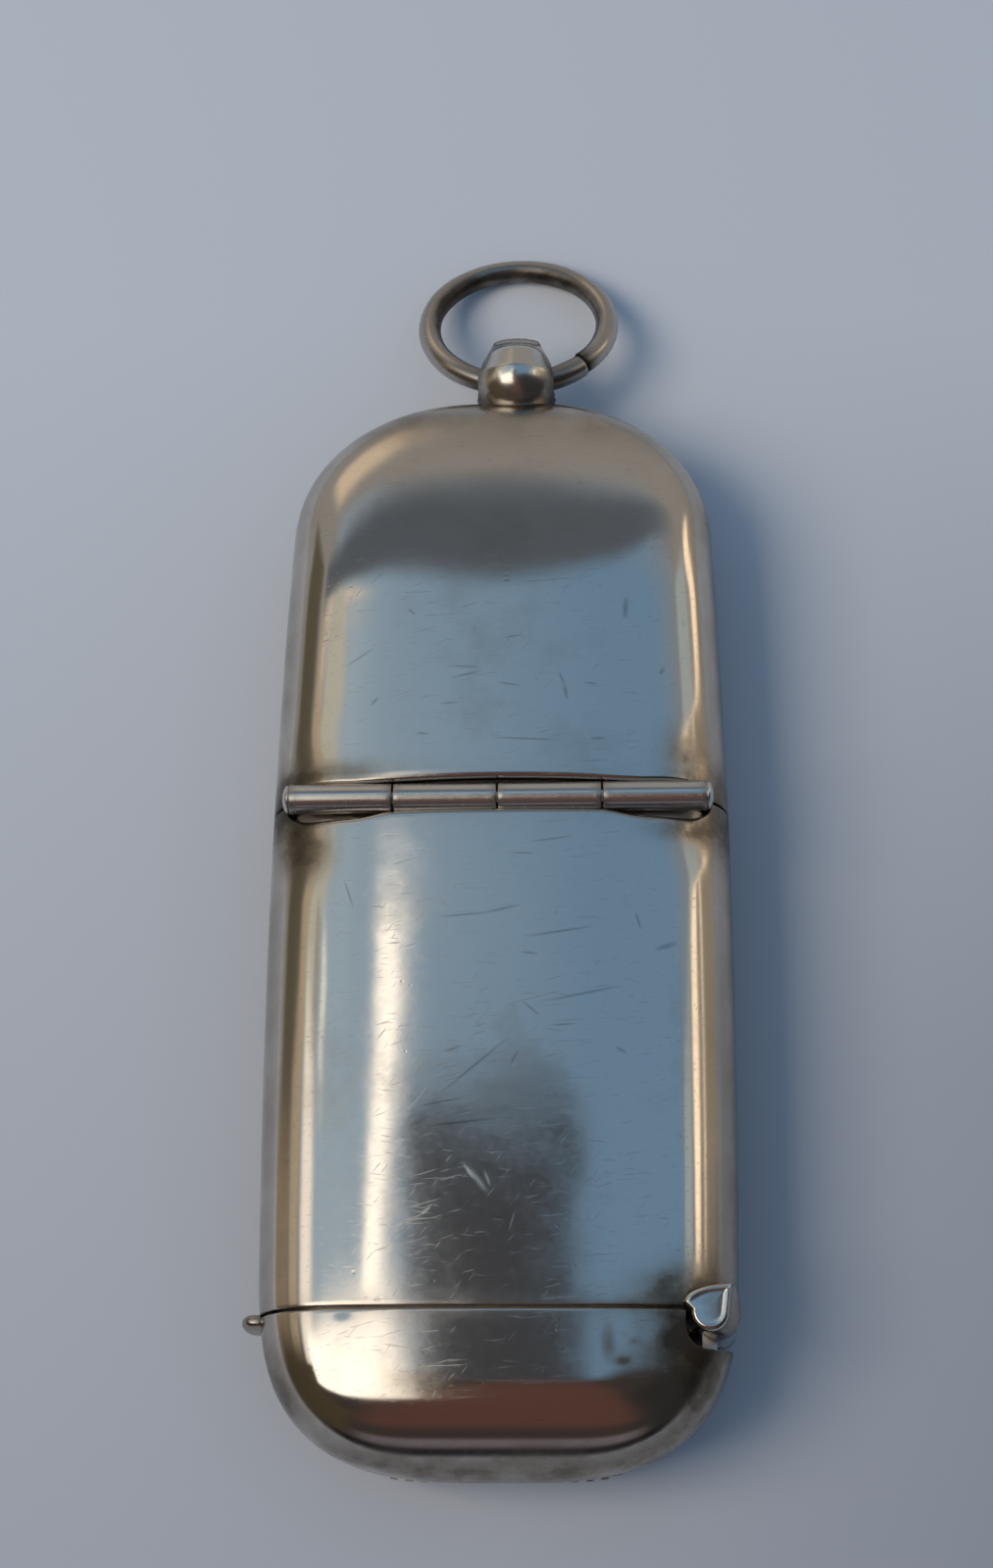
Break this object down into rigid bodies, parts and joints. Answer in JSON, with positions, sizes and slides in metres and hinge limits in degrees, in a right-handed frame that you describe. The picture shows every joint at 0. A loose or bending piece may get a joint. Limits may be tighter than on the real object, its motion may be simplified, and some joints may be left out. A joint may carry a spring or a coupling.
{
  "type": "vesta case",
  "caption": "Slim pocket vesta case in worn silver with a hinged upper compartment, a hinged end lid over the match compartment, and a ball pendant with a swinging ring.",
  "frame": {"origin": "centre of the flat back face, halfway along the closed shells", "axes": "+Z out of the front, +Y towards the pendant ring, +X towards the lid hinge"},
  "size_m": [0.0267, 0.0753, 0.0098],
  "materials": {
    "case_silver": "polished silver with fine scratches and light tarnish",
    "inner_silver": "dull inner silver",
    "ring_silver": "tarnished silver, bright on the high spots",
    "hinge_silver": "rubbed bright silver",
    "pin_steel": "plain steel",
    "striker_silver": "ribbed and dull"
  },
  "bodies": {
    "lower_case": {"lower_shell": "case_silver", "partition_plate": "inner_silver", "mid_collar": "inner_silver", "lid_collar": "inner_silver", "front_knuckle_2": "hinge_silver", "front_hinge_pin": "hinge_silver", "lid_knuckle_front": "hinge_silver", "lid_knuckle_back": "hinge_silver", "lid_hinge_pin": "pin_steel", "lid_spring": "pin_steel", "front_knuckle_3": "hinge_silver"},
    "upper_case": {"upper_shell": "case_silver", "pendant_ball": "ring_silver", "front_knuckle_1": "hinge_silver", "front_knuckle_4": "hinge_silver"},
    "end_lid": {"lid_shell": "case_silver", "lid_knuckle_mid": "hinge_silver", "thumb_tab": "hinge_silver", "striker_plate": "striker_silver"},
    "bow": {"bow_ring": "ring_silver"}
  },
  "joints": [
    {"name": "cross_hinge", "type": "hinge", "parent": "lower_case", "child": "upper_case", "pos_m": [0, 0.005, 0.009], "axis": [1, 0, 0], "range_deg": [0, 110]},
    {"name": "lid_hinge", "type": "hinge", "parent": "lower_case", "child": "end_lid", "pos_m": [0.01168, -0.02325, 0.00475], "axis": [0, 0, 1], "range_deg": [0, 100]},
    {"name": "ring_swing", "type": "hinge", "parent": "upper_case", "child": "bow", "pos_m": [0.0008, 0.033, 0.00475], "axis": [1, 0, 0], "range_deg": [-105, 148]}
  ]
}
